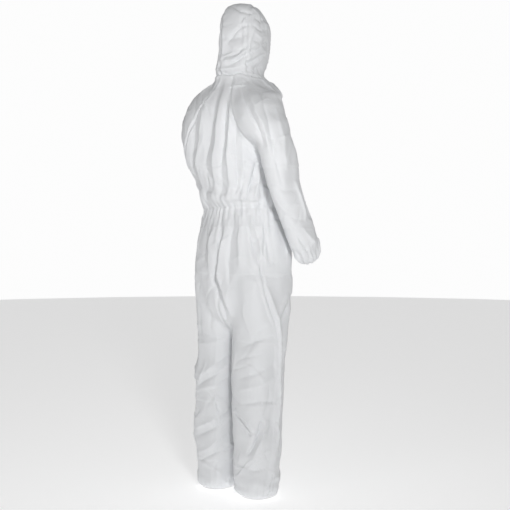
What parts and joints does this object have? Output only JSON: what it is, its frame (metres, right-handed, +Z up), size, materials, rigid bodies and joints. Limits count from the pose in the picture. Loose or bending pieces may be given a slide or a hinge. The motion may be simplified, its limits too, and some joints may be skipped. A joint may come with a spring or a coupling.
{
  "type": "chemical protective suit",
  "caption": "Hooded disposable coverall with raglan sleeves, front zip under a storm flap, elasticated face, waist, cuffs and ankles.",
  "frame": {"origin": "on the plane of the two leg openings, midway between the legs, below the body's centre line", "axes": "+Z up the body, -Y out of the suit's front, +X to the wearer's left"},
  "size_m": [0.5962, 0.508, 1.7994],
  "materials": {
    "laminate": "white microporous film laminated to a spunbonded nonwoven, matt",
    "elastic_hem": "the same white laminate gathered over a knitted elastic",
    "zip_tape": "white woven polyester tape",
    "zip_plastic": "white nylon coil and moulded stops",
    "zip_metal": "white enamelled die-cast zinc",
    "flap_tape": "clear adhesive tape under a glossy white release paper"
  },
  "bodies": {
    "torso": {"back_panel": "laminate", "right_front_panel": "laminate", "left_front_panel": "laminate", "waist_elastic": "elastic_hem", "left_seat": "laminate", "right_seat": "laminate", "right_lower_front": "laminate", "left_lower_front": "laminate", "crotch_gusset": "laminate", "left_zip_tape": "zip_tape", "right_zip_tape": "zip_tape", "left_zip_coil": "zip_plastic", "right_zip_coil": "zip_plastic", "left_zip_top_stop": "zip_plastic", "right_zip_top_stop": "zip_plastic", "zip_bottom_stop": "zip_plastic", "neck_section": "laminate", "right_raglan_top": "laminate", "left_raglan_top": "laminate", "right_hip_section": "laminate", "left_hip_section": "laminate"},
    "hood": {"hood_centre_panel": "laminate", "hood_left_panel": "laminate", "hood_right_panel": "laminate", "face_elastic": "elastic_hem"},
    "flap": {"storm_flap": "laminate", "flap_adhesive_tape": "flap_tape"},
    "slider": {"zip_slider": "zip_metal"},
    "pull": {"zip_pull": "zip_metal"},
    "right_upper_arm": {"right_upper_sleeve": "laminate", "right_elbow_section": "laminate"},
    "right_lower_arm": {"right_forearm": "laminate", "right_cuff_elastic": "elastic_hem"},
    "right_upper_leg": {"right_thigh_back": "laminate", "right_thigh_front": "laminate", "right_knee_section": "laminate"},
    "right_lower_leg": {"right_shin_back": "laminate", "right_shin_front": "laminate", "right_ankle_elastic": "elastic_hem"},
    "left_upper_arm": {"left_upper_sleeve": "laminate", "left_elbow_section": "laminate"},
    "left_lower_arm": {"left_forearm": "laminate", "left_cuff_elastic": "elastic_hem"},
    "left_upper_leg": {"left_thigh_back": "laminate", "left_thigh_front": "laminate", "left_knee_section": "laminate"},
    "left_lower_leg": {"left_shin_back": "laminate", "left_shin_front": "laminate", "left_ankle_elastic": "elastic_hem"}
  },
  "joints": [
    {"name": "hood_back", "type": "hinge", "parent": "torso", "child": "hood", "pos_m": [-0.01847, 0.0644, 1.533], "axis": [-0.9613, -0.2756, 0], "range_deg": [0, 70], "deforming": ["neck_section"]},
    {"name": "flap_open", "type": "hinge", "parent": "torso", "child": "flap", "pos_m": [0.034, -0.11851, 1.1614], "axis": [0, 0.0701, 0.9975], "range_deg": [0, 160]},
    {"name": "slider_down", "type": "slide", "parent": "torso", "child": "slider", "axis": [0, -0.0701, -0.9975], "range_m": [0, 0.605]},
    {"name": "pull_swing", "type": "hinge", "parent": "slider", "child": "pull", "pos_m": [0, -0.09514, 1.48534], "axis": [-1, 0, 0], "range_deg": [0, 150]},
    {"name": "right_shoulder", "type": "hinge", "parent": "torso", "child": "right_upper_arm", "pos_m": [-0.188, 0.062, 1.4], "axis": [-1, 0, 0], "range_deg": [-20, 55], "deforming": ["right_raglan_top"]},
    {"name": "right_elbow", "type": "hinge", "parent": "right_upper_arm", "child": "right_lower_arm", "pos_m": [-0.23489, 0.04345, 1.13475], "axis": [-1, 0, 0], "range_deg": [-15, 50], "deforming": ["right_elbow_section"]},
    {"name": "right_hip", "type": "hinge", "parent": "torso", "child": "right_upper_leg", "pos_m": [-0.1, 0.02, 0.78], "axis": [-1, 0, 0], "range_deg": [-15, 45], "deforming": ["right_hip_section"]},
    {"name": "right_knee", "type": "hinge", "parent": "right_upper_leg", "child": "right_lower_leg", "pos_m": [-0.1, 0.026, 0.47], "axis": [1, 0, 0], "range_deg": [0, 60], "deforming": ["right_knee_section"]},
    {"name": "left_shoulder", "type": "hinge", "parent": "torso", "child": "left_upper_arm", "pos_m": [0.188, 0.062, 1.4], "axis": [-1, 0, 0], "range_deg": [-46, 29], "deforming": ["left_raglan_top"]},
    {"name": "left_elbow", "type": "hinge", "parent": "left_upper_arm", "child": "left_lower_arm", "pos_m": [0.23489, -0.07095, 1.16973], "axis": [-1, 0, 0], "range_deg": [-15, 50], "deforming": ["left_elbow_section"]},
    {"name": "left_hip", "type": "hinge", "parent": "torso", "child": "left_upper_leg", "pos_m": [0.1, 0.02, 0.78], "axis": [-1, 0, 0], "range_deg": [-15, 45], "deforming": ["left_hip_section"]},
    {"name": "left_knee", "type": "hinge", "parent": "left_upper_leg", "child": "left_lower_leg", "pos_m": [0.1, 0.026, 0.47], "axis": [1, 0, 0], "range_deg": [0, 60], "deforming": ["left_knee_section"]}
  ]
}
